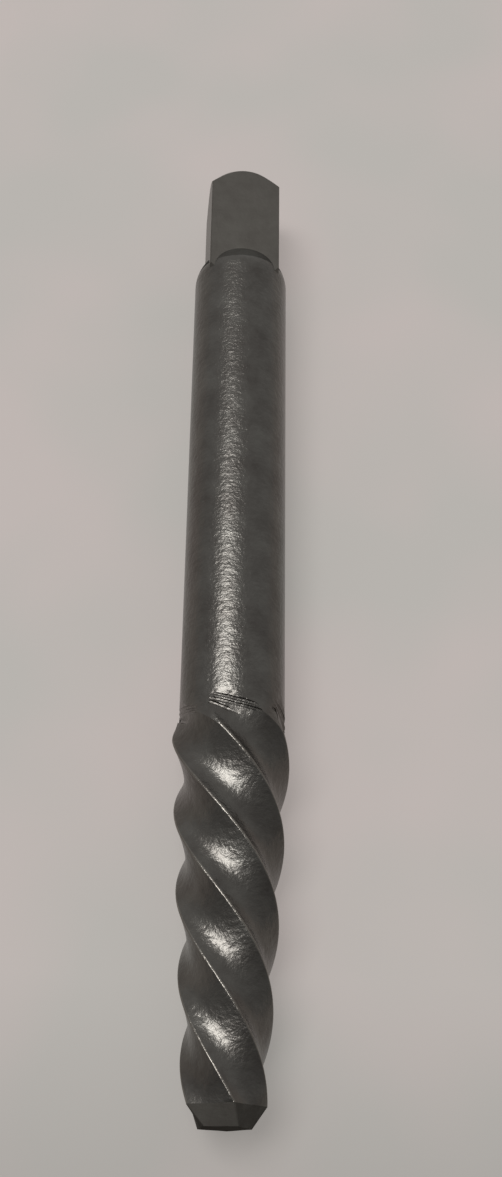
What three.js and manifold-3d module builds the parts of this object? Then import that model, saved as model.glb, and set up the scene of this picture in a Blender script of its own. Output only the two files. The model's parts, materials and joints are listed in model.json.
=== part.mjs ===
// A left-hand spiral screw extractor: one bar of hardened steel with a driving square, a round shank
// and a tapered five-sided spiral. It lies along Y with its tip towards -Y, and its lowest ridge is at Z = 0.
// Millimetres. A station is a distance along the bar: from the tip on the spiral and the shank, and from the
// drive end on the square and the shoulder.

import * as THREE from "three";
import { mergeVertices } from "three/addons/utils/BufferGeometryUtils.js";
import Module from "manifold-3d";

// Driving dimensions: the bar
const OVERALL_LENGTH = 76.2;
const SHANK_DIAMETER = 7.56;
const RESTING_ROLL_DEG = 4; // lying on a flat surface, the bar comes to rest with its flats turned this far

// Driving dimensions: the square
const ACROSS_FLATS = 5.7;
const SQUARE_CORNER_DIAMETER = 7.93; // the corners are turned off to this diameter
const SQUARE_LENGTH = 8.35; // from the drive end to the shoulder at the middle of a flat
const SHOULDER_RADIUS = 2.95; // the shank's end is rounded down to the flats
const DRIVE_CHAMFER_LENGTH = 1.35; // cone that takes the corners off at the drive end
const CORNER_RUN_OUT_LENGTH = 0.4; // where the corners sink into the shank
const CORNER_RUN_OUT_SETBACK = 0.05; // from the shoulder's full diameter back to the end of the run-out

// Driving dimensions: the spiral
const RIDGE_COUNT = 5;
const RIDGE_LENGTH = 24.97; // from the tip to where the ridges start to run out
const RIDGE_RUN_OUT_LENGTH = 3.03; // the ridges are turned down to the shank over this length
const FACE_RISE_OVERLAP = 0.7; // the faces start to rise this far before the ridges have run out
const FACE_RUN_OUT_LENGTH = 1.6; // the middles of the faces rise to the shank over this length
const FACE_RUN_OUT_SKEW = 0.6; // a face rises this much sooner on its hollow side, and later on its full side
const LEAD = 27.96; // length of bar for one full turn of a ridge
const TIP_RIDGE_DIAMETER = 5.35;
const TAPER_PER_MM = 0.122; // growth of the diameter over the ridges
const FACE_SWELL = 0.076; // a face is this hollow at most on one side of its middle, and as full on the other
const TIP_CHAMFER_DEPTH = 0.85; // taken off the radius at the tip
const TIP_CHAMFER_LENGTH = 1.3;
const TIP_PHASE_DEG = 24.6; // where a ridge meets the tip, measured from the middle of a flat of the square

// How deep the square and the shank reach into each other, so that they join
const SQUARE_SINK = 0.06;
const SHANK_SINK = 0.45;
const FACE_OVERRUN = 0.6; // the spiral's cutting shape runs on past the end of the faces

// Fineness of the surface
const FACETS_PER_FACE = 10;
const SPIRAL_RING_SPACING = 0.55;
const RUN_OUT_STEPS = 6;
const SHOULDER_STEPS = 10;
const MERGE_DISTANCE = 1e-4;

const STEEL = new THREE.MeshStandardMaterial({ color: 0x5d5b56, roughness: 0.45, metalness: 0.9 });

// Derived sizes
const shankRadius = SHANK_DIAMETER / 2;
const flatHeight = ACROSS_FLATS / 2;
const cornerRadius = SQUARE_CORNER_DIAMETER / 2;
const tipRadius = TIP_RIDGE_DIAMETER / 2;
const facesAround = RIDGE_COUNT * FACETS_PER_FACE;
const halfFace = Math.PI / RIDGE_COUNT;
const cubicPeak = 2 / (3 * Math.sqrt(3)); // highest value of x - x^3 between 0 and 1
const tipY = -OVERALL_LENGTH / 2;
const driveY = OVERALL_LENGTH / 2;

const wasm = await Module();
wasm.setup();

// Length along the bar in which the shoulder's arc falls by a given drop in radius.
function shoulderRun(drop) {
  return Math.sqrt(2 * SHOULDER_RADIUS * drop - drop * drop);
}

const shoulderLength = shoulderRun(shankRadius - flatHeight);
const shoulderStation = SQUARE_LENGTH + shoulderLength; // full shank diameter from here on

// Radius over the ridges at a station from the tip, before the run-out.
function ridgeRadius(station) {
  return tipRadius + (TAPER_PER_MM / 2) * station;
}

// The middles of the faces rise to the shank over the last of the ridges' run-out and a little further.
const faceRiseStation = RIDGE_LENGTH + RIDGE_RUN_OUT_LENGTH - FACE_RISE_OVERLAP;
const faceDepth = shankRadius - ridgeRadius(faceRiseStation) * Math.cos(halfFace);
const faceRisePerMm = Math.max(0, faceDepth) / FACE_RUN_OUT_LENGTH;
const faceEndStation = faceRiseStation + FACE_RUN_OUT_LENGTH + FACE_RUN_OUT_SKEW + FACE_OVERRUN;

// How a face leans between two ridges: from 0 to -1 on its hollow side, and to 1 on its full side.
function lean(across) {
  return (across - across ** 3) / cubicPeak;
}

// Radius of the five-sided section at a station from the tip and an angle from the middle of a face.
function sectionRadius(overRidges, station, angleFromMiddle) {
  const side = lean(angleFromMiddle / halfFace);
  const flat = (overRidges * Math.cos(halfFace)) / Math.cos(angleFromMiddle);
  const risen = Math.max(0, station - faceRiseStation - FACE_RUN_OUT_SKEW * side);
  return flat + FACE_SWELL * side + faceRisePerMm * risen;
}

// Outline of the turned bar: room for the spiral, the ridges' run-out, the shank and its rounded shoulder.
function barOutline() {
  const spiralRoom = ridgeRadius(RIDGE_LENGTH);
  const points = [new THREE.Vector2(0, 0), new THREE.Vector2(spiralRoom, 0)];
  for (let step = 0; step <= RUN_OUT_STEPS; step++) {
    const part = step / RUN_OUT_STEPS;
    const radius = THREE.MathUtils.lerp(spiralRoom, shankRadius, part * part * (3 - 2 * part));
    points.push(new THREE.Vector2(radius, RIDGE_LENGTH + RIDGE_RUN_OUT_LENGTH * part));
  }
  const shoulderStart = OVERALL_LENGTH - shoulderStation;
  const run = shoulderRun(shankRadius - flatHeight + SHANK_SINK);
  for (let step = 0; step <= SHOULDER_STEPS; step++) {
    const along = (run * step) / SHOULDER_STEPS;
    const drop = SHOULDER_RADIUS - Math.sqrt(SHOULDER_RADIUS ** 2 - along ** 2);
    points.push(new THREE.Vector2(shankRadius - drop, shoulderStart + along));
  }
  points.push(new THREE.Vector2(0, shoulderStart + run));
  return points;
}

// Outline of the spiral's envelope over the ridges, from the tip to past where the faces have come out.
function envelopeOutline() {
  const points = [new THREE.Vector2(0, 0), new THREE.Vector2(tipRadius - TIP_CHAMFER_DEPTH, 0)];
  const length = faceEndStation - TIP_CHAMFER_LENGTH;
  const rings = Math.ceil(length / SPIRAL_RING_SPACING);
  for (let ring = 0; ring <= rings; ring++) {
    const station = TIP_CHAMFER_LENGTH + (length * ring) / rings;
    points.push(new THREE.Vector2(ridgeRadius(station), station));
  }
  points.push(new THREE.Vector2(0, faceEndStation));
  return points;
}

// Turns the round envelope into the five-sided spiral: every point moves in to its face and round with the twist.
function cutSpiral(geometry) {
  const position = geometry.getAttribute("position");
  const phase = THREE.MathUtils.degToRad(TIP_PHASE_DEG);
  for (let i = 0; i < position.count; i++) {
    const station = position.getY(i);
    const envelope = Math.hypot(position.getX(i), position.getZ(i));
    const around = Math.atan2(position.getX(i), position.getZ(i));
    const faces = around / (2 * halfFace);
    const fromMiddle = (faces - Math.round(faces - 0.5) - 0.5) * 2 * halfFace;
    const radius = envelope > 0 ? sectionRadius(envelope, station, fromMiddle) : 0;
    const twisted = around + phase - (2 * Math.PI * station) / LEAD;
    position.setX(i, radius * Math.sin(twisted));
    position.setZ(i, radius * Math.cos(twisted));
  }
  return geometry;
}

// Turned blank of the square: chamfered drive end, corner diameter, and the corners' run-out.
function squareBlankOutline() {
  const runOutEnd = shoulderStation - CORNER_RUN_OUT_SETBACK;
  return [
    new THREE.Vector2(0, 0),
    new THREE.Vector2(flatHeight, 0),
    new THREE.Vector2(cornerRadius, DRIVE_CHAMFER_LENGTH),
    new THREE.Vector2(cornerRadius, runOutEnd - CORNER_RUN_OUT_LENGTH),
    new THREE.Vector2(shankRadius - SQUARE_SINK, runOutEnd),
    new THREE.Vector2(0, runOutEnd),
  ];
}

// A closed geometry as a solid for joining and cutting.
function toSolid(geometry) {
  const bare = new THREE.BufferGeometry();
  bare.setAttribute("position", geometry.getAttribute("position"));
  bare.setIndex(geometry.index);
  const merged = mergeVertices(bare, MERGE_DISTANCE);
  const corners = [];
  for (let i = 0; i < merged.index.count; i += 3) {
    const [a, b, c] = [0, 1, 2].map((k) => merged.index.getX(i + k));
    if (a !== b && b !== c && c !== a) corners.push(a, b, c);
  }
  const triVerts = new Uint32Array(corners);
  const vertProperties = new Float32Array(merged.getAttribute("position").array);
  return new wasm.Manifold(new wasm.Mesh({ numProp: 3, vertProperties, triVerts }));
}

// A solid back to a geometry.
function toGeometry(solid) {
  const mesh = solid.getMesh();
  const geometry = new THREE.BufferGeometry();
  geometry.setAttribute("position", new THREE.BufferAttribute(new Float32Array(mesh.vertProperties), 3));
  geometry.setIndex(new THREE.BufferAttribute(new Uint32Array(mesh.triVerts), 1));
  geometry.computeVertexNormals();
  return geometry;
}

// Shank and spiral: a turned bar, cut down to the spiral up to the end of the faces.
function makeShankAndSpiral() {
  const bar = toSolid(new THREE.LatheGeometry(barOutline(), facesAround));
  const spiral = toSolid(cutSpiral(new THREE.LatheGeometry(envelopeOutline(), facesAround)));
  const shankLength = OVERALL_LENGTH - faceEndStation + FACE_OVERRUN / 2;
  const shankRoom = new THREE.CylinderGeometry(SHANK_DIAMETER, SHANK_DIAMETER, shankLength, facesAround);
  shankRoom.translate(0, OVERALL_LENGTH - shankLength / 2, 0);
  return bar.intersect(spiral.add(toSolid(shankRoom))).translate([0, tipY, 0]);
}

// The driving square: a square bar with its corners turned off.
function makeSquare() {
  const blank = new THREE.LatheGeometry(squareBlankOutline(), facesAround);
  blank.rotateX(Math.PI);
  const barLength = 2 * shoulderStation; // longer than the blank on both sides
  const bar = new THREE.BoxGeometry(ACROSS_FLATS, barLength, ACROSS_FLATS);
  return toSolid(blank).intersect(toSolid(bar)).translate([0, driveY, 0]);
}

const body = new THREE.Mesh(toGeometry(makeShankAndSpiral().add(makeSquare())), STEEL);
body.name = "screw_extractor";

const group = new THREE.Group();
group.add(body);
group.rotation.y = THREE.MathUtils.degToRad(RESTING_ROLL_DEG);
group.position.z = -new THREE.Box3().setFromObject(group, true).min.z;

export default group;
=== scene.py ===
"""A left-hand spiral screw extractor: one bar of hardened steel lying on a sheet of paper.

The bar is modelled standing up, with its tip at the origin and its drive end on +Z, from a turned blank,
a twisted five-sided spiral and a driving square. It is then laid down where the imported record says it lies.
"""

from __future__ import annotations

import json
import logging
import math
from contextlib import contextmanager
from dataclasses import dataclass, field
from enum import Enum
from typing import Callable, Iterator, Sequence

import bmesh
import bpy
from mathutils import Euler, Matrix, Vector


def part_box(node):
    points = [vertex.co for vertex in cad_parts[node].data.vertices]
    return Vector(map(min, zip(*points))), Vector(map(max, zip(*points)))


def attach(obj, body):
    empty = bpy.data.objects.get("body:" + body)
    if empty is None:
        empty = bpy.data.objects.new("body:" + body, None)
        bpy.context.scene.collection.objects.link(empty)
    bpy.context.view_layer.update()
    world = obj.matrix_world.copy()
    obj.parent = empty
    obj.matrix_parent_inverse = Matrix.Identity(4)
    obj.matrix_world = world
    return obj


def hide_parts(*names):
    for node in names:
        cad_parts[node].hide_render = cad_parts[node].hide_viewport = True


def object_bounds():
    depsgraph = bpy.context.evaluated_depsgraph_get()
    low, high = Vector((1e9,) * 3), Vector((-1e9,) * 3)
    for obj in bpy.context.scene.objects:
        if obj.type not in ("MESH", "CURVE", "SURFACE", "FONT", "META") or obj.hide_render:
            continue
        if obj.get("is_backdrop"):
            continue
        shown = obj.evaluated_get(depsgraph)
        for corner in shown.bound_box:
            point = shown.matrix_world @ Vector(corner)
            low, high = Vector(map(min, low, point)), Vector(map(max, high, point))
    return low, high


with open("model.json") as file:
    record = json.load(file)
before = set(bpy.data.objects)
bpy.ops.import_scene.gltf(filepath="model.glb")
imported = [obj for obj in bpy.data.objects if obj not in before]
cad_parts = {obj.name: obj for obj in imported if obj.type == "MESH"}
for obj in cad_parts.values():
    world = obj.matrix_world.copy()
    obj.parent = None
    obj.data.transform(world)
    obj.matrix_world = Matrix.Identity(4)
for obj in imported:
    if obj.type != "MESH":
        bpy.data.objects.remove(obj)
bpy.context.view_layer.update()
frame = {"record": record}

LOG = logging.getLogger("extractor")
MM = 0.001
NODE = "screw_extractor"
CUBIC_PEAK = 2 / (3 * math.sqrt(3))  # highest value of x - x^3 between 0 and 1


class Cut(Enum):
    """How one solid acts on another."""

    JOIN = "UNION"
    REMOVE = "DIFFERENCE"
    KEEP_COMMON = "INTERSECT"


class Zone(Enum):
    """Where on the bar a face lies, as the number of its material slot."""

    SHANK = 0
    SPIRAL = 1
    WORN_EDGE = 2
    SQUARE = 3
    # The tip's chamfer and end, painted dark as painted shade
    END = 4
    # The shoulder's root, painted dark as painted shade
    SHOULDER = 5


def lean(across: float) -> float:
    """How a face leans between two ridges: from 0 to -1 on its hollow side, and to 1 on its full side."""
    return (across - across**3) / CUBIC_PEAK


def ease(part: float) -> float:
    """Turns a share that grows evenly from 0 to 1 into one that starts and ends gently."""
    return part * part * (3 - 2 * part)


# ---------------------------------------------------------------------------------------------------------
# Working in edit mode
# ---------------------------------------------------------------------------------------------------------


@contextmanager
def editing(piece: bpy.types.Object) -> Iterator[None]:
    """Makes a piece the only selected one and holds it in edit mode.

    Args:
        piece: The mesh object to edit.
    """
    pick(piece)
    bpy.ops.object.mode_set(mode="EDIT")
    try:
        yield
    finally:
        bpy.ops.object.mode_set(mode="OBJECT")


def pick(piece: bpy.types.Object) -> None:
    """Selects one object alone and makes it active.

    Args:
        piece: The object.
    """
    bpy.ops.object.select_all(action="DESELECT")
    piece.select_set(True)
    bpy.context.view_layer.objects.active = piece


def select_edges(piece: bpy.types.Object, wanted: Callable[[Vector, Vector], bool]) -> None:
    """Selects the edges of a piece in edit mode whose two ends pass a test.

    Args:
        piece: The mesh object in edit mode.
        wanted: Takes the places of an edge's two ends, and says whether the edge is selected.
    """
    bpy.ops.mesh.select_mode(type="EDGE")
    bpy.ops.mesh.select_all(action="DESELECT")
    mesh = bmesh.from_edit_mesh(piece.data)
    for edge in mesh.edges:
        edge.select_set(wanted(edge.verts[0].co, edge.verts[1].co))
    bmesh.update_edit_mesh(piece.data)


def start_primitive(name: str) -> bpy.types.Object:
    """Names the primitive that was just added and gives it the bar's zones as material slots.

    Args:
        name: The object's name.

    Returns:
        The primitive.
    """
    piece = bpy.context.object
    piece.name = name
    piece.data.name = name
    for zone in Zone:
        piece.data.materials.append(bpy.data.materials.get(zone.name) or bpy.data.materials.new(zone.name))
    return piece


def put_in_zone(piece: bpy.types.Object, zone: Zone) -> None:
    """Gives all the faces of a piece to one zone."""
    for face in piece.data.polygons:
        face.material_index = zone.value


def cut(piece: bpy.types.Object, tool: bpy.types.Object, how: Cut) -> None:
    """Applies a Boolean with another piece, which is used up.

    Args:
        piece: The piece that changes.
        tool: The piece that cuts it or is joined to it.
        how: What the Boolean does.
    """
    pick(piece)
    modifier = piece.modifiers.new(how.name, "BOOLEAN")
    modifier.operation = how.value
    modifier.object = tool
    modifier.solver = "MANIFOLD"
    bpy.ops.object.modifier_apply(modifier=modifier.name)
    bpy.data.objects.remove(tool)


def raise_rings(piece: bpy.types.Object, outline: Sequence[tuple[float, float]]) -> None:
    """Raises a flat section to a closed solid, by extruding and resizing it from ring to ring.

    Args:
        piece: A flat face across Z, at the first ring's size and height.
        outline: Radius and height of each ring, from the lowest up, in metres.
    """
    radius, height = outline[0]
    with editing(piece):
        bpy.ops.mesh.select_mode(type="FACE")
        bpy.ops.mesh.select_all(action="SELECT")
        for next_radius, next_height in outline[1:]:
            bpy.ops.mesh.extrude_region_move(TRANSFORM_OT_translate={"value": (0, 0, next_height - height)})
            grow = next_radius / radius
            bpy.ops.transform.resize(value=(grow, grow, 1), center_override=(0, 0, next_height))
            radius, height = next_radius, next_height
        bpy.ops.mesh.select_all(action="SELECT")
        bpy.ops.mesh.normals_make_consistent(inside=False)


def turn_profile(name: str, outline: Sequence[tuple[float, float]], sides: int) -> bpy.types.Object:
    """Turns a solid about Z.

    Args:
        name: The object's name.
        outline: Radius and height of each ring, from the lowest up, in metres.
        sides: Number of faces around.

    Returns:
        The closed solid.
    """
    radius, height = outline[0]
    bpy.ops.mesh.primitive_circle_add(
        vertices=sides, radius=radius, fill_type="NGON", location=(0, 0, height)
    )
    piece = start_primitive(name)
    pick(piece)
    bpy.ops.object.transform_apply(location=True)
    raise_rings(piece, outline)
    return piece


# ---------------------------------------------------------------------------------------------------------
# Where the bar lies
# ---------------------------------------------------------------------------------------------------------


@dataclass(frozen=True)
class Lie:
    """The bar's place and overall sizes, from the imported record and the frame's box. Metres and radians."""

    length: float
    across_flats: float
    axis_x: float
    axis_z: float
    tip_y: float
    roll: float

    @classmethod
    def from_record(cls, record: dict) -> "Lie":
        """Reads the lie from the flats of the square.

        Args:
            record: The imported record.

        Returns:
            The bar's place, in metres and radians.
        """
        mounts = {mount["name"]: mount for mount in record["mounts"]}
        top = Vector(mounts["square_flat_top"]["pos_m"])
        bottom = Vector(mounts["square_flat_bottom"]["pos_m"])
        normal = mounts["square_flat_top"]["axis"]
        low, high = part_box(NODE)
        middle = (top + bottom) / 2
        return cls(
            length=high.y - low.y,
            across_flats=(top - bottom).length,
            axis_x=middle.x,
            axis_z=middle.z,
            tip_y=low.y,
            roll=math.atan2(normal[0], normal[2]),
        )

    def lay_down(self, piece: bpy.types.Object) -> None:
        """Lays the upright bar along Y, turned by the roll, and leaves its place in its mesh.

        Args:
            piece: The bar, with its tip at the origin and its drive end on +Z.
        """
        pick(piece)
        piece.rotation_euler = (-math.pi / 2, 0, 0)
        bpy.ops.object.transform_apply(rotation=True)
        piece.rotation_euler = (0, self.roll, 0)
        piece.location = (self.axis_x, self.tip_y, self.axis_z)
        bpy.ops.object.transform_apply(location=True, rotation=True)


# ---------------------------------------------------------------------------------------------------------
# Sub-assemblies
# ---------------------------------------------------------------------------------------------------------


@dataclass
class Spiral:
    """The tapered five-sided spiral. Sizes in millimetres, and those of the section are at the tip."""

    ridges: int = 5
    tip_diameter: float = 5.35
    taper_per_mm: float = 0.122  # growth of the diameter over the ridges
    lead: float = 27.96  # length of bar for one full turn of a ridge
    phase_deg: float = 24.6  # where a ridge meets the tip, from the middle of a flat of the square
    hollow: float = 0.03  # the middle of a face lies this far inside a straight line between its ridges
    swell: float = 0.062  # a face dips this much more on one side of its middle, and less on the other
    ridge_bevel: float = 0.1
    ridge_segments: int = 5
    chamfer_depth: float = 0.85  # taken off the radius at the tip
    chamfer_length: float = 1.3
    rise_overlap: float = 0.7  # the faces start to rise this far before the ridges have run out
    face_run_out: float = 1.6  # the middles of the faces rise to the shank over this length
    face_skew: float = 0.6  # a face rises this much sooner on its hollow side, and later on its full one
    overrun: float = 0.6  # the cutting shape runs on past the end of the faces
    facets_per_face: int = 16
    ring_spacing: float = 0.25
    row_digits: int = 3  # points are in one row where their places across the face agree to this many digits
    row_tolerance: float = 0.002
    side_slope: float = 0.5  # a face whose normal leans along the bar by more than this isn't on a ridge

    @property
    def half_face(self) -> float:
        """Angle from the middle of a face to a ridge."""
        return math.pi / self.ridges

    def ridge_radius(self, station: float) -> float:
        """Radius over the ridges at a distance from the tip, in millimetres."""
        return (self.tip_diameter + self.taper_per_mm * station) / 2

    def end(self, ridges_end: float) -> float:
        """Distance from the tip to the end of the cutting shape, for ridges that end at a given one."""
        return ridges_end - self.rise_overlap + self.face_run_out + self.face_skew + self.overrun

    def outline(self, ridges_end: float) -> list[tuple[float, float]]:
        """Radius over the ridges and height of each ring.

        Args:
            ridges_end: Distance from the tip to where the ridges have come down to the shank.

        Returns:
            The outline from the tip to past the end of the faces, in metres.
        """
        rings = math.ceil((self.end(ridges_end) - self.chamfer_length) / self.ring_spacing)
        points = [(self.tip_diameter / 2 - self.chamfer_depth, 0.0)]
        for ring in range(rings + 1):
            station = self.chamfer_length + (self.end(ridges_end) - self.chamfer_length) * ring / rings
            points.append((self.ridge_radius(station), station))
        return [(radius * MM, station * MM) for radius, station in points]

    def build(self, ridges_end: float, shank_radius: float) -> bpy.types.Object:
        """Draws the section, raises it to a straight prism, lets its faces out at the top and twists it.

        Args:
            ridges_end: Distance from the tip to where the ridges have come down to the shank.
            shank_radius: Radius that the middles of the faces come out to.

        Returns:
            The spiral's solid, in the place of the upright bar.
        """
        outline = self.outline(ridges_end)
        piece = self.draw_section()
        tip_share = outline[0][0] / (self.tip_diameter / 2 * MM)
        piece.scale = (tip_share, tip_share, 1)
        pick(piece)
        bpy.ops.object.transform_apply(scale=True)
        raise_rings(piece, outline)
        self.mark_ridges(piece)
        self.let_faces_out(piece, ridges_end - self.rise_overlap, shank_radius)
        modifier = piece.modifiers.new("twist", "SIMPLE_DEFORM")
        modifier.deform_method = "TWIST"
        modifier.deform_axis = "Z"
        modifier.angle = -2 * math.pi * self.end(ridges_end) / self.lead
        bpy.ops.object.modifier_apply(modifier=modifier.name)
        return piece

    def let_faces_out(self, piece: bpy.types.Object, rise: float, shank_radius: float) -> None:
        """Moves the faces out to the shank at their end, sooner on their hollow side than on their full one.

        Args:
            piece: The straight prism.
            rise: Distance from the tip to where the middles of the faces start to rise.
            shank_radius: Radius that they come out to over the run-out.
        """
        slope = (shank_radius - self.ridge_radius(rise) * math.cos(self.half_face)) / self.face_run_out
        with editing(piece):
            mesh = bmesh.from_edit_mesh(piece.data)
            for vertex in mesh.verts:
                radius = vertex.co.xy.length
                start = rise + self.face_skew * lean(self.across(vertex.co)) if radius else rise
                risen = max(0.0, vertex.co.z / MM - start)
                if risen and radius:
                    vertex.co.xy *= 1 + slope * risen * MM / radius
            bmesh.update_edit_mesh(piece.data)

    def draw_section(self) -> bpy.types.Object:
        """Draws the section at the tip: a pentagon with rounded ridges and faces hollow and full.

        Returns:
            One flat face across Z.
        """
        lost = self.ridge_bevel * (1 / math.cos(self.half_face) - 1) / math.tan(self.half_face)
        radius = (self.tip_diameter / 2 + lost) * MM
        bpy.ops.mesh.primitive_circle_add(
            vertices=self.ridges, radius=radius, fill_type="NGON", rotation=(0, 0, self.first_ridge())
        )
        piece = start_primitive("spiral")
        pick(piece)
        bpy.ops.object.transform_apply(rotation=True)
        with editing(piece):
            bpy.ops.mesh.select_all(action="SELECT")
            bpy.ops.mesh.bevel(
                offset=self.ridge_bevel * MM, segments=self.ridge_segments, affect="VERTICES"
            )
            select_edges(piece, lambda a, b: (a - b).length > self.ridge_bevel * MM)
            bpy.ops.mesh.subdivide(number_cuts=self.facets_per_face - 1)
            self.shape_faces(piece)
        return piece

    def first_ridge(self) -> float:
        """Turn of the section about Z that puts a ridge at its place at the tip."""
        return math.radians(self.phase_deg) - math.pi

    def across(self, place: Vector) -> float:
        """How far across its face a point lies before the twist: 0 at the middle, 1 and -1 at the ridges."""
        around = math.atan2(place.x, -place.y) - math.radians(self.phase_deg) - self.half_face
        return math.remainder(around, 2 * self.half_face) / self.half_face

    def shape_faces(self, piece: bpy.types.Object) -> None:
        """Moves each row of points in or out, so that a face is hollow on one side and full on the other.

        Args:
            piece: The section, in edit mode.
        """
        bpy.ops.mesh.select_mode(type="VERT")
        mesh = bmesh.from_edit_mesh(piece.data)
        rows = sorted({round(self.across(vertex.co), self.row_digits) for vertex in mesh.verts})
        for row in rows:
            bpy.ops.mesh.select_all(action="DESELECT")
            mesh = bmesh.from_edit_mesh(piece.data)
            chosen = [v for v in mesh.verts if abs(self.across(v.co) - row) < self.row_tolerance]
            for vertex in chosen:
                vertex.select_set(True)
            mesh.select_flush(True)
            bmesh.update_edit_mesh(piece.data)
            swelling = self.swell * lean(row) - self.hollow * (1 - row**2)
            grow = 1 + swelling * MM / chosen[0].co.xy.length
            bpy.ops.transform.resize(value=(grow, grow, 1), center_override=(0, 0, 0))

    def mark_ridges(self, piece: bpy.types.Object) -> None:
        """Gives the rounded ridges, the chamfered tip and the faces their zones.

        Args:
            piece: The straight prism.
        """
        rounding = 1 - self.ridge_bevel / (self.tip_diameter / 2 * math.sin(self.half_face))
        for face in piece.data.polygons:
            on_side = abs(face.normal.z) < self.side_slope
            on_ridge = on_side and abs(self.across(face.center)) > rounding
            zone = Zone.WORN_EDGE if on_ridge else Zone.SPIRAL
            # The chamfered tip goes to the zone that is painted dark, as painted shade
            if face.center.z < self.chamfer_length * MM:
                zone = Zone.END
            face.material_index = zone.value


@dataclass
class Shank:
    """The round shank with the ridges' run-out and the rounded shoulder. Sizes in millimetres."""

    diameter: float = 7.56
    tip_overrun: float = 1.0  # the blank starts this far below the tip
    ridge_length: float = 25.5  # from the tip to where the ridges start to run out
    run_out: float = 2.3  # the ridges are turned down to the shank over this length
    square_length: float = 8.35  # from the drive end to the shoulder at the middle of a flat
    shoulder_radius: float = 2.95
    shoulder_sink: float = 0.45  # the shoulder reaches this far into the square, so that they join
    painted_shade_reach: float = 1.3  # the shoulder is painted dark over this length from the foot of a flat, as painted shade
    sides: int = 180
    run_out_steps: int = 10
    plain_rings: int = 5  # these rings past the run-out keep its grooves from bending the shank's shading
    plain_length: float = 2.0
    shoulder_steps: int = 16

    def outline(self, lie: Lie, spiral_room: float) -> list[tuple[float, float]]:
        """Radius and height of each ring of the turned blank.

        Args:
            lie: The bar's place and overall sizes.
            spiral_room: Radius over the ridges where they start to run out, in millimetres.

        Returns:
            The outline from below the tip to the inside of the shoulder, in metres.
        """
        radius = self.diameter / 2
        points = [(spiral_room, -self.tip_overrun)]
        for step in range(self.run_out_steps + 1):
            part = step / self.run_out_steps
            station = self.ridge_length + self.run_out * part
            points.append((spiral_room + (radius - spiral_room) * ease(part), station))
        for step in range(1, self.plain_rings + 1):
            points.append((radius, self.ridges_end + self.plain_length * step / self.plain_rings))
        flat = lie.across_flats / MM / 2
        full_drop = radius - flat + self.shoulder_sink
        shoulder = lie.length / MM - self.square_length - self.run(radius - flat)
        end = self.run(full_drop)
        for step in range(self.shoulder_steps + 1):
            along = end * step / self.shoulder_steps
            drop = self.shoulder_radius - math.sqrt(self.shoulder_radius**2 - along**2)
            points.append((radius - drop, shoulder + along))
        return [(r * MM, z * MM) for r, z in points]

    @property
    def ridges_end(self) -> float:
        """Distance from the tip to where the ridges have come down to the shank."""
        return self.ridge_length + self.run_out

    def run(self, drop: float) -> float:
        """Length along the bar in which the shoulder falls by a drop in radius."""
        return math.sqrt(2 * self.shoulder_radius * drop - drop * drop)

    def build(self, lie: Lie, spiral_room: float) -> bpy.types.Object:
        """Turns the blank that the spiral is cut into.

        Args:
            lie: The bar's place and overall sizes.
            spiral_room: Radius over the ridges where they start to run out, in millimetres.

        Returns:
            The turned blank, in the place of the upright bar.
        """
        piece = turn_profile("shank", self.outline(lie, spiral_room), self.sides)
        put_in_zone(piece, Zone.SHANK)
        # Faces past this point get the shoulder's painted shade
        root = lie.length - (self.square_length + self.painted_shade_reach) * MM
        for face in piece.data.polygons:
            if face.center.z > root:
                face.material_index = Zone.SHOULDER.value
        return piece


@dataclass
class DrivingSquare:
    """The square that a tap wrench holds. Sizes in millimetres."""

    corner_diameter: float = 7.93  # the corners are turned off to this diameter
    chamfer: float = 1.35  # length of the cone that takes the corners off at the drive end
    corner_run_out: float = 0.4  # the corners sink into the shank over this length
    run_out_setback: float = 0.05  # from the shoulder's full diameter back to the end of the run-out
    sink: float = 0.06  # the foot of the blank lies this far inside the shank
    bar_overrun: float = 0.2  # the square bar is this share longer than it need be
    sides: int = 180

    def build(self, lie: Lie, shank: Shank) -> bpy.types.Object:
        """Cuts a turned blank down to a square.

        Args:
            lie: The bar's place and overall sizes.
            shank: The shank that the square grows out of.

        Returns:
            The square's solid, in its place at the top of the upright bar.
        """
        flat = lie.across_flats / MM / 2
        top = lie.length / MM
        corner = self.corner_diameter / 2
        shoulder = top - shank.square_length - shank.run(shank.diameter / 2 - flat)
        foot = shoulder + self.run_out_setback
        outline = [
            (shank.diameter / 2 - self.sink, foot),
            (corner, foot + self.corner_run_out),
            (corner, top - self.chamfer),
            (flat, top),
        ]
        piece = turn_profile("square", [(r * MM, z * MM) for r, z in outline], self.sides)
        put_in_zone(piece, Zone.SQUARE)
        length = 2 * (top - foot)
        bpy.ops.mesh.primitive_cube_add(
            size=1,
            location=(0, 0, top * MM),
            scale=(lie.across_flats, lie.across_flats, length * MM * (1 + self.bar_overrun)),
        )
        bar = start_primitive("square_bar")
        put_in_zone(bar, Zone.SQUARE)
        cut(piece, bar, Cut.KEEP_COMMON)
        return piece


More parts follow.
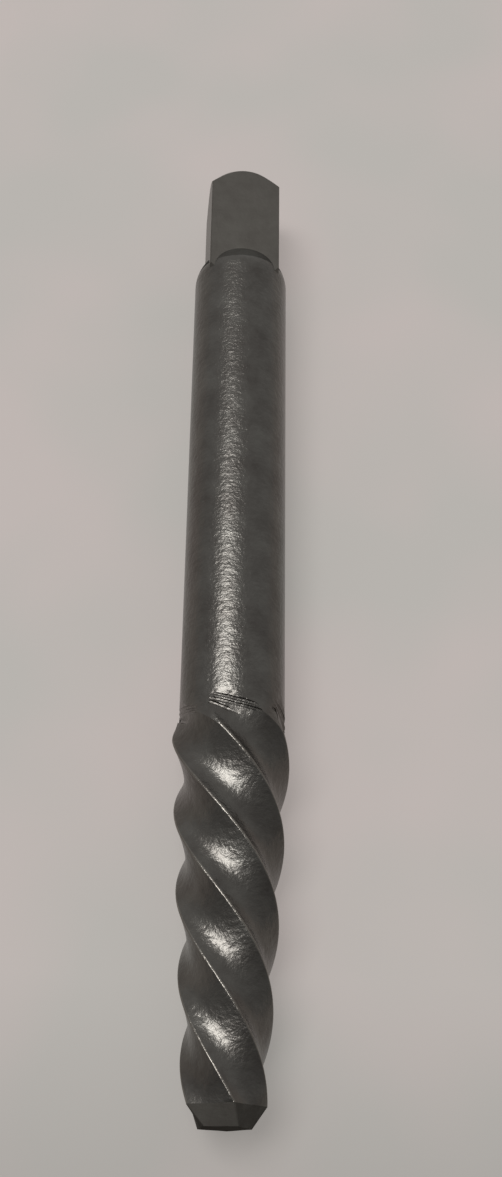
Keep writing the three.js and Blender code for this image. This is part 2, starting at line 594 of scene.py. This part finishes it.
@dataclass
class GrindingMark:
    """A groove that the wheel left at the end of each face. Sizes in millimetres."""

    station: float  # distance of the groove's middle from the tip
    tilt_deg: float  # how far the groove leans from square across the bar
    face_radius: float  # how far the face lies from the bar's axis here
    azimuth_deg: float = -3.0  # where the first groove lies, from the middle of a flat of the square
    depth: float = 0.055
    wheel_edge: float = 0.16  # the wheel's edge is rounded to this radius
    sweep_radius: float = 14.0  # the groove's bottom is an arc of this radius
    sweep_deg: float = 16.0
    steps: int = 24
    edge_sides: int = 10
    weld: float = 0.001

    def build(self, faces: int) -> bpy.types.Object:
        """Makes the cutters of the groove, one for each face.

        Args:
            faces: How many faces the spiral has.

        Returns:
            The joined cutters, in the place of the upright bar.
        """
        cutters = [self.cutter(face * 2 * math.pi / faces) for face in range(faces)]
        pick(cutters[0])
        for cutter in cutters[1:]:
            cutter.select_set(True)
        bpy.ops.object.join()
        return cutters[0]

    def cutter(self, turn: float) -> bpy.types.Object:
        """Spins one cutter: the wheel's rounded edge, swept along an arc flatter than the bar.

        Args:
            turn: Angle of its face about the bar.

        Returns:
            The cutter, in the place of the upright bar.
        """
        bpy.ops.mesh.primitive_circle_add(
            vertices=self.edge_sides,
            radius=self.wheel_edge * MM,
            fill_type="NGON",
            location=(0, -self.sweep_radius * MM, 0),
            rotation=(0, math.pi / 2, 0),
        )
        cutter = start_primitive("groove_cutter")
        pick(cutter)
        bpy.ops.object.transform_apply(location=True, rotation=True)
        sweep = math.radians(self.sweep_deg)
        with editing(cutter):
            bpy.ops.mesh.select_all(action="SELECT")
            bpy.ops.mesh.spin(steps=self.steps, angle=sweep, center=(0, 0, 0), axis=(0, 0, 1))
            bpy.ops.mesh.select_all(action="SELECT")
            bpy.ops.mesh.remove_doubles(threshold=self.weld * MM)
            bpy.ops.mesh.normals_make_consistent(inside=False)
        apex = self.face_radius - self.depth + self.wheel_edge
        swept_right = max(vertex.co.x for vertex in cutter.data.vertices) > self.wheel_edge * MM
        # Centred over the face, tilted, moved out to the face and turned round the bar
        moves = (
            ((0, 0, -sweep / 2 if swept_right else sweep / 2), (0, 0, 0)),
            ((0, math.radians(self.tilt_deg), 0), (0, 0, 0)),
            ((0, 0, 0), (0, (self.sweep_radius - apex) * MM, self.station * MM)),
            ((0, 0, math.radians(self.azimuth_deg) + turn), (0, 0, 0)),
        )
        for rotation, location in moves:
            cutter.rotation_euler = rotation
            cutter.location = location
            bpy.ops.object.transform_apply(location=True, rotation=True)
        put_in_zone(cutter, Zone.SPIRAL)
        return cutter


@dataclass
class Extractor:
    """The whole tool, made from its sub-assemblies and dressed in its finishes. Sizes in millimetres."""

    lie: Lie
    spiral: Spiral = field(default_factory=Spiral)
    shank: Shank = field(default_factory=Shank)
    square: DrivingSquare = field(default_factory=DrivingSquare)
    marks: tuple[GrindingMark, ...] = (
        GrindingMark(station=27.64, tilt_deg=13.0, face_radius=3.57),
        GrindingMark(station=27.27, tilt_deg=13.0, face_radius=3.52),
        GrindingMark(station=26.7, tilt_deg=22.0, face_radius=3.48),
    )
    smooth_angle_deg: float = 24.0
    weld: float = 0.002
    room_radius: float = 10.0
    room_sides: int = 24

    def build(self) -> bpy.types.Object:
        """Builds the bar, lays it down and dresses it.

        Returns:
            The finished bar.
        """
        room = self.spiral.ridge_radius(self.shank.ridge_length)
        bar = self.shank.build(self.lie, room)
        spiral = self.spiral.build(self.shank.ridges_end, self.shank.diameter / 2)
        cut(spiral, self.shank_room(), Cut.JOIN)
        cut(bar, spiral, Cut.KEEP_COMMON)
        for mark in self.marks:
            cut(bar, mark.build(self.spiral.ridges), Cut.REMOVE)
        cut(bar, self.square.build(self.lie, self.shank), Cut.JOIN)
        bar.name = "extractor_bar"
        self.lie.lay_down(bar)
        with editing(bar):
            bpy.ops.mesh.select_all(action="SELECT")
            bpy.ops.mesh.remove_doubles(threshold=self.weld * MM)
            bpy.ops.mesh.normals_make_consistent(inside=False)
        pick(bar)
        bpy.ops.object.shade_smooth_by_angle(angle=math.radians(self.smooth_angle_deg))
        self.dress(bar)
        return bar

    def shank_room(self) -> bpy.types.Object:
        """Makes a plain round bar, wider than the shank, that keeps it whole while the spiral is cut.

        Returns:
            The bar, from just short of the spiral's end to the drive end.
        """
        foot = (self.spiral.end(self.shank.ridges_end) - self.spiral.overrun / 2) * MM
        radius = self.room_radius * MM
        return turn_profile("shank_room", [(radius, foot), (radius, self.lie.length)], self.room_sides)

    def dress(self, bar: bpy.types.Object) -> None:
        """Gives each zone of the bar its finish."""
        for zone in Zone:
            bar.data.materials[zone.value] = FINISHES[zone].build()


# ---------------------------------------------------------------------------------------------------------
# Finishes
# ---------------------------------------------------------------------------------------------------------


def linear(colour: str) -> tuple[float, float, float, float]:
    """Turns an sRGB hex colour to the linear values that a shader takes.

    Args:
        colour: A colour such as "#a0b0c0".

    Returns:
        Red, green, blue and an alpha of 1.
    """
    channels = [int(colour[i : i + 2], 16) / 255 for i in (1, 3, 5)]
    values = [c / 12.92 if c <= 0.04045 else ((c + 0.055) / 1.055) ** 2.4 for c in channels]
    return (*values, 1.0)


def add_node(
    tree: bpy.types.NodeTree, kind: str, settings: dict | None = None, links: dict | None = None
) -> bpy.types.Node:
    """Adds a node to a tree, with its settings and its links.

    Args:
        tree: The node tree.
        kind: The node's type, without the ShaderNode prefix.
        settings: Property names, or input names, with their values.
        links: Input names with the output sockets that feed them. Inputs that share a name go by number.

    Returns:
        The new node.
    """
    node = tree.nodes.new("ShaderNode" + kind)
    for name, value in (settings or {}).items():
        if isinstance(name, str) and hasattr(node, name):
            setattr(node, name, value)
        else:
            node.inputs[name].default_value = value
    for name, source in (links or {}).items():
        tree.links.new(source, node.inputs[name])
    return node


def start_material(name: str) -> bpy.types.Material:
    """Makes a material with an empty node tree.

    Args:
        name: The material's name.

    Returns:
        The material.
    """
    material = bpy.data.materials.new(name)
    material.use_nodes = True
    material.node_tree.nodes.clear()
    return material


@dataclass(frozen=True)
class Steel:
    """Hardened tool steel with pits, stains and, where set, grinding lines. Sizes in millimetres."""

    name: str
    colour: str = "#5f5d59"
    metallic: float = 1.0
    specular: float = 0.5
    roughness: float = 0.33
    pit_size: float = 0.5  # real pits are mostly finer, and are drawn as coarse as they need to show
    pit_depth: float = 0.05
    line_depth: float = 0.0
    line_spacing: float = 0.2  # real grinding lines lie closer, and are drawn as coarse as they need to show
    line_length: float = 1.4
    stain: float = 0.22  # how much darker and lighter the stains make the steel
    stain_warmth: float = 0.85  # the share of the darkening that reaches the red, so dark stains look warm
    stain_size: float = 2.2
    stain_edges: tuple[float, float] = (0.3, 0.7)

    def build(self) -> bpy.types.Material:
        """Makes the material.

        Returns:
            The material.
        """
        material = start_material(self.name)
        tree = material.node_tree
        where = add_node(tree, "TexCoord").outputs["Object"]
        shader = add_node(
            tree,
            "BsdfPrincipled",
            {"Metallic": self.metallic, "Specular IOR Level": self.specular, "Roughness": self.roughness},
            {"Base Color": self.stained(tree, where), "Normal": self.relief(tree, where)},
        )
        add_node(tree, "OutputMaterial", links={"Surface": shader.outputs["BSDF"]})
        return material

    def relief(self, tree: bpy.types.NodeTree, where: bpy.types.NodeSocket) -> bpy.types.NodeSocket:
        """Adds the pits, and the grinding lines round the bar where the finish has them.

        Args:
            tree: The material's node tree.
            where: The place on the piece.

        Returns:
            The bumped normal.
        """
        pits = add_node(
            tree,
            "TexNoise",
            {"Scale": 1 / (self.pit_size * MM), "Detail": 3.0, "Roughness": 0.62},
            {"Vector": where},
        )
        normal = add_node(
            tree,
            "Bump",
            {"Distance": self.pit_depth * MM, "Strength": 1.0},
            {"Height": pits.outputs["Fac"]},
        ).outputs["Normal"]
        if not self.line_depth:
            return normal
        stretch = (1.0, self.line_length / self.line_spacing, 1.0)
        along = add_node(tree, "Mapping", {"Scale": stretch}, {"Vector": where})
        lines = add_node(
            tree,
            "TexNoise",
            {"Scale": 1 / (self.line_length * MM), "Detail": 2.0, "Roughness": 0.5},
            {"Vector": along.outputs["Vector"]},
        )
        return add_node(
            tree,
            "Bump",
            {"Distance": self.line_depth * MM, "Strength": 1.0},
            {"Height": lines.outputs["Fac"], "Normal": normal},
        ).outputs["Normal"]

    def stained(self, tree: bpy.types.NodeTree, where: bpy.types.NodeSocket) -> bpy.types.NodeSocket:
        """Adds the steel's colour with its clouded stains.

        Args:
            tree: The material's node tree.
            where: The place on the piece.

        Returns:
            The colour.
        """
        cloud = add_node(
            tree,
            "TexNoise",
            {"Scale": 1 / (self.stain_size * MM), "Detail": 5.0, "Roughness": 0.65},
            {"Vector": where},
        )
        red, green, blue, _ = linear(self.colour)
        dark = 1 - self.stain
        light = 1 + self.stain
        ramp = add_node(tree, "ValToRGB", links={"Fac": cloud.outputs["Fac"]})
        low, high = ramp.color_ramp.elements
        low.position, high.position = self.stain_edges
        low.color = (red * (1 - self.stain_warmth * self.stain), green * dark, blue * dark, 1.0)
        high.color = (red * light, green * light, blue * light, 1.0)
        return ramp.outputs["Color"]


FINISHES: dict[Zone, Steel] = {
    # Dark scale from hardening, rubbed to a crackled sheen that breaks the light into small glints
    Zone.SHANK: Steel("scaled_steel", roughness=0.28, pit_size=0.4, pit_depth=0.053, line_depth=0.012),
    # Ground faces: a broad soft glint in the hollow of each one, with a coarser crackle
    Zone.SPIRAL: Steel("ground_steel", roughness=0.3, pit_size=0.5, pit_depth=0.058),
    # Ridges worn bright by use, which draw thin light lines along the spiral
    Zone.WORN_EDGE: Steel(
        "worn_bright_steel", colour="#75726c", roughness=0.28, pit_size=0.45, pit_depth=0.07
    ),
    # Milled flats: an even grey with hardly any glint
    Zone.SQUARE: Steel(
        "milled_steel", colour="#625f5a", roughness=0.36, pit_size=0.9, pit_depth=0.03, stain=0.12
    ),
    # The tip's chamfer and end: painted shade, a near-black rough coat that never shines
    Zone.END: Steel(
        "tip_painted_shade", colour="#45433f", metallic=0.0, specular=0.0, roughness=0.9, pit_size=0.5
    ),
    # Painted shade at the root of the shoulder: a dark dull coat that draws a black lens at the foot of each
    # flat
    Zone.SHOULDER: Steel("shoulder_painted_shade", colour="#3b3a37", metallic=0.0, specular=0.0, roughness=0.9),
}


@dataclass(frozen=True)
class Paper:
    """Plain matt paper, part of whose tone is a glow, so that the bar's shadow on it stays light.

    The glow is seen by the camera and in the steel, and lights nothing else. Sizes in millimetres.
    """

    tints: tuple[str, str] = ("#b9b5b0", "#c0b7b3")
    tint_edges: tuple[float, float] = (0.4, 0.6)
    blot_size: float = 25.0
    painted_shade_end: tuple[float, float] = (-52.0, -28.0)  # painted shade along Y: dark up to the first, pale from the second
    painted_shade_level: float = 0.74
    roughness: float = 0.9
    glow: float = 0.97
    glow_share: float = 0.6
    size: float = 3000.0

    def build(self) -> bpy.types.Object:
        """Lays the sheet under the bar.

        Returns:
            The sheet.
        """
        lowest = min(0.0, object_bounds()[0][2])
        bpy.ops.mesh.primitive_plane_add(size=self.size * MM, location=(0, 0, lowest))
        sheet = bpy.context.object
        sheet.name = "paper_sheet"
        sheet.data.materials.append(self.material())
        sheet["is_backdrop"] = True
        return sheet

    def material(self) -> bpy.types.Material:
        """Makes the paper's material.

        Returns:
            The material.
        """
        material = start_material("paper")
        tree = material.node_tree
        tone = self.tone(tree)
        shader = add_node(tree, "BsdfPrincipled", {"Roughness": self.roughness}, {"Base Color": tone})
        glow = add_node(tree, "Emission", {"Strength": self.glow}, {"Color": tone})
        rays = add_node(tree, "LightPath").outputs
        seen = rays["Is Camera Ray"]
        for ray in ("Is Glossy Ray", "Is Transmission Ray"):
            seen = add_node(tree, "Math", {"operation": "MAXIMUM"}, {0: seen, 1: rays[ray]}).outputs[0]
        share = add_node(tree, "Math", {"operation": "MULTIPLY", 1: self.glow_share}, {0: seen})
        mix = add_node(
            tree,
            "MixShader",
            links={0: share.outputs[0], 1: shader.outputs["BSDF"], 2: glow.outputs["Emission"]},
        )
        add_node(tree, "OutputMaterial", links={"Surface": mix.outputs["Shader"]})
        return material

    def tone(self, tree: bpy.types.NodeTree) -> bpy.types.NodeSocket:
        """Adds the paper's colour: wide faint blots of two tints, with painted shade that darkens it past the
        bar's tip.

        Args:
            tree: The material's node tree.

        Returns:
            The colour.
        """
        where = add_node(tree, "TexCoord").outputs["Object"]
        along = add_node(tree, "SeparateXYZ", links={"Vector": where}).outputs["Y"]
        # Painted shade: the paper darkens towards -Y, past the bar's tip
        dark, pale = self.painted_shade_end
        reach = {"From Min": dark * MM, "From Max": pale * MM, "To Min": self.painted_shade_level}
        fade = add_node(tree, "MapRange", reach, {"Value": along})
        blot_scale = 1 / (self.blot_size * MM)
        blots = add_node(tree, "TexNoise", {"Scale": blot_scale, "Detail": 2.0}, {"Vector": where})
        tints = add_node(tree, "ValToRGB", links={"Fac": blots.outputs["Fac"]})
        for element, place, colour in zip(tints.color_ramp.elements, self.tint_edges, self.tints):
            element.position = place
            element.color = linear(colour)
        factor, first, second, result = 0, 6, 7, 2  # the Mix node's sockets for colours go by number
        return add_node(
            tree,
            "Mix",
            {"data_type": "RGBA", "blend_type": "MULTIPLY", factor: 1.0},
            {first: tints.outputs["Color"], second: fade.outputs["Result"]},
        ).outputs[result]


@dataclass(frozen=True)
class Studio:
    """The camera, a soft lamp and the room's light, placed from the middle of the bar's axis.

    Sizes in millimetres.
    """

    camera_offset: tuple[float, float, float] = (-2.869, -46.731, 93.926)
    camera_turn_deg: tuple[float, float, float] = (26.323, -2.867, 0.742)
    lens: float = 42.82
    sensor: float = 36.0
    clip_start: float = 10.0
    lamp_direction: tuple[float, float, float] = (-0.305, 0.13, 0.943)
    lamp_distance: float = 800.0
    lamp_size: tuple[float, float] = (380.0, 420.0)
    lamp_watts: float = 4.6
    room_colour: str = "#ffffff"
    room_level: float = 0.37
    room_tilt: float = 0.24  # the room is this much brighter towards +Y, and darker towards -Y

    def build(self, lie: Lie) -> None:
        """Adds the camera, the lamp and the world.

        Args:
            lie: The bar's place.
        """
        middle = Vector((lie.axis_x, lie.tip_y + lie.length / 2, lie.axis_z))
        self.add_camera(middle)
        self.add_lamp(middle)
        self.add_room()
        bpy.context.scene.view_settings.view_transform = "Standard"

    def add_camera(self, middle: Vector) -> None:
        """Adds the camera.

        Args:
            middle: The middle of the bar's axis.
        """
        scene = bpy.context.scene
        lens = bpy.data.cameras.new("camera")
        lens.lens = self.lens
        lens.sensor_width = self.sensor
        lens.sensor_fit = "AUTO"
        lens.clip_start = self.clip_start * MM
        camera = bpy.data.objects.new("camera", lens)
        camera.location = middle + Vector(self.camera_offset) * MM
        camera.rotation_euler = Euler([math.radians(turn) for turn in self.camera_turn_deg])
        scene.collection.objects.link(camera)
        scene.camera = camera

    def add_lamp(self, middle: Vector) -> None:
        """Adds the soft lamp, turned towards the bar.

        Args:
            middle: The middle of the bar's axis.
        """
        width, height = self.lamp_size
        softbox = bpy.data.lights.new("softbox", "AREA")
        softbox.shape = "RECTANGLE"
        softbox.size = width * MM
        softbox.size_y = height * MM
        softbox.energy = self.lamp_watts
        lamp = bpy.data.objects.new("softbox", softbox)
        direction = Vector(self.lamp_direction).normalized()
        lamp.location = middle + direction * self.lamp_distance * MM
        lamp.rotation_euler = direction.to_track_quat("Z", "Y").to_euler()
        bpy.context.scene.collection.objects.link(lamp)

    def add_room(self) -> None:
        """Adds the world: an even light that is brighter on one side, as a room with a window is."""
        world = bpy.data.worlds.new("room")
        world.use_nodes = True
        tree = world.node_tree
        direction = add_node(tree, "TexCoord").outputs["Generated"]
        along = add_node(tree, "SeparateXYZ", links={"Vector": direction}).outputs["Y"]
        level = add_node(
            tree,
            "Math",
            {"operation": "MULTIPLY_ADD", 1: self.room_tilt, 2: self.room_level},
            {0: along},
        )
        background = tree.nodes["Background"]
        tree.links.new(level.outputs[0], background.inputs["Strength"])
        background.inputs["Color"].default_value = linear(self.room_colour)
        bpy.context.scene.world = world


def main() -> None:
    """Builds the tool and its stage, and reports each piece."""
    logging.basicConfig(level=logging.INFO, format="%(name)s: %(message)s")
    lie = Lie.from_record(frame["record"])
    bar = Extractor(lie).build()
    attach(bar, "root")
    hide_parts(NODE)
    LOG.info("%s: %d faces", bar.name, len(bar.data.polygons))
    sheet = Paper().build()
    LOG.info("%s: stage", sheet.name)
    Studio().build(lie)


if __name__ == "__main__":
    main()
